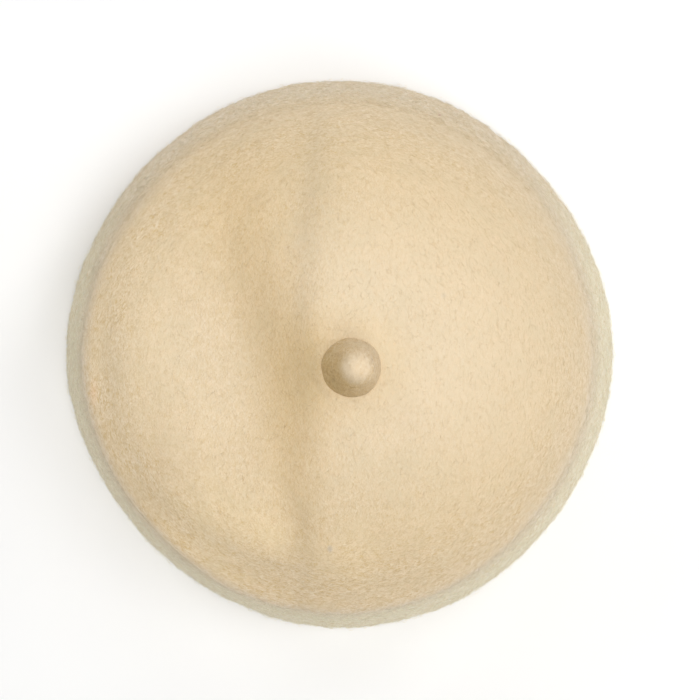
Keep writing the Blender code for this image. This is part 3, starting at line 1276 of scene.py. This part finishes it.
@dataclass
class Nub:
    """The tapered felt peg on the crown, leaning a little to the right."""

    form: CapForm
    finish: FeltFinish
    tip_radius: float = 0.0044
    height: float = 0.0245
    tip_round: float = 0.0080
    lean: float = math.radians(5.0)
    tip_edge: Pair = (0.0030, 0.0066)
    # Painted shade: the sides deeper than the lit tip, and more on the side that faces away from the light.
    side_shade: float = 0.62
    away_side_shade: float = 0.37
    shade_heading: float = math.radians(211.0)
    tip_matting: float = 0.25
    side_matting: float = 1.20
    foot_depth: float = 0.0006
    segments: int = 144
    spacing: float = 0.0004
    lumps: tuple[Lump, ...] = (
        Lump(0.0060, 0.00030, 5.3),
        Lump(0.0022, 0.00010, 17.9),
    )

    def profile(self) -> list[Vector]:
        """The side from the tip down into the crown's felt, and in to the axis.

        Returns:
            Points in the XZ plane.
        """
        tip = Vector((0.0, 0.0, self.height))
        tip_corner = Vector((self.tip_radius, 0.0, self.height))
        foot = Vector((self.form.nub_radius, 0.0, 0.0))
        side_start = tip_corner + (foot - tip_corner).normalized() * self.tip_round
        points = rounded_corner(tip, tip_corner, side_start, round(2.0 * self.tip_round / self.spacing))
        points += even_points(side_start, foot, self.spacing)
        sunk = Vector((self.form.nub_radius, 0.0, -self.foot_depth))
        points += even_points(foot, sunk, self.spacing)
        points.append(Vector((0.0, 0.0, -self.foot_depth)))
        return points

    def build(self) -> Piece:
        """Turn, roughen and lean the nub, and stand it on its seat.

        Returns:
            The finished piece.
        """
        piece = turned_piece("felt_nub", self.profile(), self.segments)
        points = mesh_points(piece.data)
        points = points + mesh_normals(piece.data) * lump_heights(points, self.lumps)[:, None]
        points[:, :2] += self.form.seat_middle
        points[:, 2] += self.form.seat_height(points[:, 0], points[:, 1])
        points[:, 0] += (points[:, 2] - self.form.seat_height(*self.form.seat_middle)) * math.tan(self.lean)
        # Painted shade on the nub's sides, kept as a tone at each point.
        keep_value(piece.data, PointValue.PAINTED_SHADING, self.painted_shading(points))
        matting = self.tip_matting + (self.side_matting - self.tip_matting) * self.off_tip(points)
        keep_value(piece.data, PointValue.MATTING, matting)
        set_mesh_points(piece.data, points)
        return piece

    def painted_shading(self, points: np.ndarray) -> np.ndarray:
        """Painted shade: the sides deeper and warmer than the lit tip, most of all on the side that faces
        away from the light.

        Args:
            points: Places on the nub, one in each row.

        Returns:
            Shares from 0 to 1.
        """
        x, y = self.off_axis(points)
        facing_away = np.cos(np.arctan2(y, x) - self.shade_heading)
        return self.off_tip(points) * (self.side_shade + self.away_side_shade * facing_away)

    def off_axis(self, points: np.ndarray) -> tuple[np.ndarray, np.ndarray]:
        """How far each point is from the leaning axis.

        Args:
            points: Places on the nub, one in each row.

        Returns:
            The distances along X and those along Y.
        """
        middle_x, middle_y = self.form.seat_middle
        height = points[:, 2] - self.form.seat_height(middle_x, middle_y)
        return points[:, 0] - middle_x - height * math.tan(self.lean), points[:, 1] - middle_y

    def off_tip(self, points: np.ndarray) -> np.ndarray:
        """0 on the tip and 1 on the sides."""
        return smooth_step(*self.tip_edge, np.hypot(*self.off_axis(points)))

    def dress(self, piece: Piece) -> None:
        """Give the nub its felt and let it stand for the solid."""
        finish_piece(piece, self.finish.material())
        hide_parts("nub")


@dataclass
class NapPatch:
    """Short loose hairs that lie on one stretch of felt, as spindles with three sides.

    Attributes:
        lift: How far the flattest and the loosest hair rise off the felt.
        stray_share: Share of hairs that stand up further, by up to stray_lift.
        sideways: How far they bend sideways.
        root_depth: How deep their middle line starts in the felt.
        rise: Parts of a half wave at which a hair starts and ends.
        crown_split: Distance from the axis at which the crown's edge begins.
        wall_split: Height at which the upper wall begins.
        facing_down: Height of the normals that face too far down for the nub's hairs.
        rounding: Distances from the axis between which the hairs turn round the cap.
        round_spread: How far round the nub its hairs point.
    """

    zone: Zone
    count: int
    seed: int
    length: Pair = (0.0011, 0.0028)
    half_width: Pair = (0.000015, 0.00003)
    lift: Pair = (0.00004, 0.00020)
    stray_share: float = 0.03
    stray_lift: float = 0.0011
    turn_spread: float = math.radians(24.0)
    sideways: float = 0.00045
    root_depth: float = 0.00004
    rise: Pair = (0.15, 0.75)
    crown_split: float = 0.060
    wall_split: float = 0.026
    above_rim: float = 0.0012
    above_seat: float = 0.0002
    nub_clearance: float = 0.0094
    facing_down: float = -0.5
    rounding: Pair = (0.050, 0.078)
    round_spread: float = 0.8

    STATIONS = (0.0, 0.33, 0.72, 1.0)
    SIDES = 3

    def in_zone(self, middles: np.ndarray, normals: np.ndarray, form: CapForm) -> np.ndarray:
        """Which faces belong to this patch.

        Args:
            middles: Middles of the faces.
            normals: Normals of the faces.
            form: Sizes of the cap.

        Returns:
            True for each face of the patch.
        """
        x, y, height = middles.T
        radius = from_axis(middles)
        top = radius < form.shoulder_radius
        clear = form.from_nub(x, y) > self.nub_clearance
        over_seat = height > form.seat_height(x, y) + self.above_seat
        return {
            Zone.CROWN_MIDDLE: top & clear & (radius < self.crown_split),
            Zone.CROWN_EDGE: top & (radius >= self.crown_split),
            Zone.WALL_UPPER: ~top & (height > self.wall_split),
            Zone.WALL_LOWER: ~top & (height <= self.wall_split) & (height > self.above_rim),
            Zone.NUB: over_seat & (normals[:, 2] > self.facing_down),
        }[self.zone]

    def direction(self, points: np.ndarray, normals: np.ndarray, random: np.random.Generator) -> np.ndarray:
        """The way that each hair points: up the nub, or along Y and, near the edge, round the cap.

        Args:
            points: Roots of the hairs.
            normals: Normals of the surface there.
            random: Source of random numbers.

        Returns:
            Unit vectors square to the normals.
        """
        radius = from_axis(points)
        round_cap = np.stack([-points[:, 1], points[:, 0], np.zeros(len(points))], axis=1)
        round_cap /= np.maximum(radius, NEARLY_ZERO)[:, None]
        if self.zone is Zone.NUB:
            along = np.tile([0.0, 0.0, 1.0], (len(points), 1))
            along += self.round_spread * round_cap * random.normal(size=(len(points), 1))
        else:
            straight = np.tile([0.0, 1.0, 0.0], (len(points), 1))
            flip = np.sign(np.sum(round_cap * straight, axis=1))
            flip[flip == 0.0] = 1.0
            share = smooth_step(*self.rounding, radius)[:, None]
            along = straight * (1.0 - share) + round_cap * flip[:, None] * share
        along -= normals * np.sum(along * normals, axis=1)[:, None]
        along /= np.maximum(lengths(along), NEARLY_ZERO)
        turn = random.normal(scale=self.turn_spread, size=len(points))
        turn += math.pi * random.integers(0, 2, size=len(points))
        return along * np.cos(turn)[:, None] + np.cross(normals, along) * np.sin(turn)[:, None]

    def build(self, surface: Piece, outer_points: int, form: CapForm,
              painted_shading: Callable[[np.ndarray], np.ndarray]) -> Piece:
        """Scatter the hairs over the felt.

        Args:
            surface: The piece that the hairs grow on.
            outer_points: Number of points at the start of its mesh that are on the outer side.
            form: Sizes of the cap.
            painted_shading: Tells the painted shading of the felt at the roots.

        Returns:
            One object that holds every hair of the patch.
        """
        random = np.random.default_rng(self.seed)
        roots, normals = self.scatter(surface.data, outer_points, form, random)
        along = self.direction(roots, normals, random)
        across = np.cross(normals, along)
        length = random.uniform(*self.length, size=self.count)
        width = random.uniform(*self.half_width, size=self.count)
        lift = random.uniform(*self.lift, size=self.count)
        stray = random.random(self.count) < self.stray_share
        lift = np.where(stray, lift + random.random(self.count) * self.stray_lift, lift)
        bend = random.normal(scale=self.sideways, size=self.count)
        rise_start, rise_end = self.rise
        rings = []
        for station in self.STATIONS:
            middle = roots + along * (length * (station - 0.5))[:, None]
            middle += across * (bend * (4.0 * station * (1.0 - station)))[:, None]
            wave = math.sin(math.pi * (rise_start + (rise_end - rise_start) * station))
            rings.append(middle + normals * (lift * wave - self.root_depth)[:, None])
        points, faces = self.spindles(rings, across, normals, width)
        mesh = bpy.data.meshes.new(f"nap_{self.zone.value}")
        fill_mesh(mesh, points, faces)
        points_each = len(points) // self.count
        keep_value(mesh, PointValue.HAIR_TONE, np.repeat(random.random(self.count), points_each))
        keep_value(mesh, PointValue.PAINTED_SHADING, np.repeat(painted_shading(roots), points_each))
        return new_piece(mesh.name, mesh)

    def scatter(self, mesh: Mesh, outer_points: int, form: CapForm,
                random: np.random.Generator) -> tuple[np.ndarray, np.ndarray]:
        """Choose where the hairs stand, evenly over the patch.

        Args:
            mesh: Mesh of the felt.
            outer_points: Number of points on its outer side, which come first.
            form: Sizes of the cap.
            random: Source of random numbers.

        Returns:
            The roots, and the normals of the felt there.
        """
        mesh.calc_loop_triangles()
        corners = np.empty(len(mesh.loop_triangles) * 3, np.int32)
        mesh.loop_triangles.foreach_get("vertices", corners)
        corners = corners.reshape(-1, 3)
        corners = corners[(corners < outer_points).all(axis=1)]
        points = mesh_points(mesh)
        first, second, third = (points[corners[:, side]] for side in range(3))
        normals = np.cross(second - first, third - first)
        area = np.linalg.norm(normals, axis=1)
        normals /= np.maximum(area, NO_AREA)[:, None]
        keep = (area > 0.0) & self.in_zone((first + second + third) / 3.0, normals, form)
        first, second, third, normals, area = (rows[keep] for rows in (first, second, third, normals, area))
        chosen = random.choice(len(area), size=self.count, p=area / area.sum())
        share = random.random((self.count, 2))
        over = share.sum(axis=1) > 1.0
        share[over] = 1.0 - share[over]
        roots = first[chosen] + (second - first)[chosen] * share[:, :1]
        roots += (third - first)[chosen] * share[:, 1:]
        return roots, normals[chosen]

    def spindles(self, rings: list[np.ndarray], across: np.ndarray, normals: np.ndarray,
                 width: np.ndarray) -> tuple[np.ndarray, np.ndarray]:
        """Closed spindles, pointed at both ends.

        Args:
            rings: Middles of each hair at each station.
            across: Unit vectors to the side of each hair.
            normals: Unit vectors out of the felt at each hair.
            width: Half width of each hair at its thickest.

        Returns:
            The points, and the faces as rows of three point numbers.
        """
        columns = [rings[0]]
        for ring in rings[1:-1]:
            for side in range(self.SIDES):
                angle = 2.0 * math.pi * side / self.SIDES + math.pi / 2.0
                outward = across * math.cos(angle) + normals * math.sin(angle)
                columns.append(ring + outward * width[:, None])
        columns.append(rings[-1])
        points = np.stack(columns, axis=1).reshape(-1, 3)
        tip = len(columns) - 1
        pattern = []
        for side in range(self.SIDES):
            here = 1 + side
            after = 1 + (side + 1) % self.SIDES
            pattern.append((0, after, here))
            pattern.append((here, after, after + self.SIDES))
            pattern.append((here, after + self.SIDES, here + self.SIDES))
            pattern.append((tip, here + self.SIDES, after + self.SIDES))
        starts = np.arange(self.count) * len(columns)
        return points, (starts[:, None, None] + np.array(pattern)[None]).reshape(-1, 3)


@dataclass(frozen=True)
class Softbox:
    """A square soft light: its heading and its tilt off overhead in degrees, and its power in watts."""

    name: str
    heading: float
    tilt: float
    energy: float


@dataclass
class Studio:
    """A pale floor, soft light from above and a camera that looks straight down."""

    floor_finish: FloorFinish
    floor_size: float = 6.0
    camera_height: float = 1.100
    camera_place: Pair = (0.0034, 0.0013)
    focal_length: float = 157.4
    sensor_width: float = 36.0
    sky_strength: float = 0.181
    light_distance: float = 2.0
    light_size: float = 0.7
    softboxes: tuple[Softbox, ...] = (
        Softbox("overhead", 0.0, 0.0, 9.5),
        Softbox("near", 289.0, 25.0, 10.0),
        Softbox("right", 0.0, 25.0, 5.9),
        Softbox("low_right", 0.0, 50.0, 2.3),
        Softbox("low_near_right", 315.0, 66.0, 3.4),
        Softbox("low_far_right", 45.0, 59.0, 6.4),
        Softbox("low_far", 90.0, 50.0, 2.4),
        Softbox("low_far_left", 135.0, 50.0, 4.8),
        Softbox("left", 180.0, 25.0, 1.4),
        Softbox("low_left", 180.0, 72.0, 2.3),
        Softbox("far_rim", 112.0, 75.0, 2.6),
    )

    def build(self) -> None:
        """Set up everything that isn't part of the cap."""
        self.lay_floor()
        self.light_sky()
        for softbox in self.softboxes:
            self.hang_light(softbox)
        self.place_camera()
        bpy.context.scene.view_settings.view_transform = "Standard"

    def lay_floor(self) -> None:
        """Lay the floor under the rim."""
        half = self.floor_size / 2.0
        corners = [(-half, -half, 0.0), (half, -half, 0.0), (half, half, 0.0), (-half, half, 0.0)]
        floor = meshed_piece("floor", corners, [], [(0, 1, 2, 3)])
        floor.data.materials.append(self.floor_finish.material())

    def light_sky(self) -> None:
        """Fill the room with even white light."""
        world = bpy.data.worlds.new("studio_room")
        world.use_nodes = True
        background = world.node_tree.nodes["Background"]
        background.inputs["Color"].default_value = (1.0, 1.0, 1.0, 1.0)
        background.inputs["Strength"].default_value = self.sky_strength
        bpy.context.scene.world = world

    def hang_light(self, softbox: Softbox) -> None:
        """Hang a soft light where its heading and tilt say.

        Args:
            softbox: The light.
        """
        light = bpy.data.lights.new(f"{softbox.name}_softbox", "AREA")
        light.shape = "SQUARE"
        light.size = self.light_size
        light.energy = softbox.energy
        tilt = math.radians(softbox.tilt)
        heading = math.radians(softbox.heading)
        off = math.sin(tilt)
        way = Vector((off * math.cos(heading), off * math.sin(heading), math.cos(tilt)))
        lamp = new_piece(light.name, light)
        lamp.location = way * self.light_distance
        lamp.rotation_euler = way.to_track_quat("Z", "Y").to_euler()

    def place_camera(self) -> None:
        """Look straight down at the crown, as the photo does."""
        camera = bpy.data.cameras.new("camera")
        camera.lens = self.focal_length
        camera.sensor_width = self.sensor_width
        holder = new_piece("camera", camera)
        holder.location = (*self.camera_place, self.camera_height)
        bpy.context.scene.camera = holder


def report(piece: Piece) -> None:
    """Log a finished piece and its number of faces."""
    LOG.info("%s: %d faces", piece.name, len(piece.data.polygons))


def main() -> None:
    """Build the fez and its studio, piece by piece."""
    logging.basicConfig(level=logging.INFO, format="%(name)s %(message)s")
    Studio(FloorFinish()).build()
    form = CapForm()
    cap = FeltCap(form, CapWearAndShading(), FeltFinish("cream_wool_felt", marks=CAP_MARKS))
    shell = cap.build()
    cap.dress(shell)
    report(shell)
    nub = Nub(form, FeltFinish("nub_wool_felt", light=(0.880, 0.750, 0.585), deep=(0.685, 0.492, 0.255),
                               painted_shade_tint=NUB_PAINTED_SHADE_TINT, sheen=0.12))
    peg = nub.build()
    nub.dress(peg)
    report(peg)
    hair = NapFinish("loose_wool_hair").material()
    coarse_hair = NapFinish("wall_wool_hair", pale=(0.92, 0.835, 0.660),
                            dark=(0.715, 0.600, 0.420)).material()
    coarse = {"half_width": (0.00003, 0.00006), "lift": (0.00010, 0.00060), "stray_share": 0.10}
    for patch, material in (
        (NapPatch(Zone.CROWN_MIDDLE, 10000, 11, stray_share=0.01, turn_spread=math.radians(42.0)), hair),
        (NapPatch(Zone.CROWN_EDGE, 16000, 12), hair),
        (NapPatch(Zone.WALL_UPPER, 14000, 13, **coarse), coarse_hair),
        (NapPatch(Zone.WALL_LOWER, 12000, 14, **coarse), coarse_hair),
    ):
        nap = patch.build(shell, cap.outer_points, form, cap.painted_shading)
        finish_piece(nap, material)
        report(nap)
    tuft = NapPatch(Zone.NUB, 1500, 15, length=(0.0010, 0.0022), lift=(0.00003, 0.00020),
                    stray_lift=0.0005, sideways=0.0002)
    nap = tuft.build(peg, len(peg.data.vertices), form, nub.painted_shading)
    nub_hair = NapFinish("nub_wool_hair", pale=(0.840, 0.700, 0.490), dark=(0.770, 0.615, 0.415),
                         painted_shade_tint=NUB_PAINTED_SHADE_TINT)
    finish_piece(nap, nub_hair.material())
    report(nap)


if __name__ == "__main__":
    main()
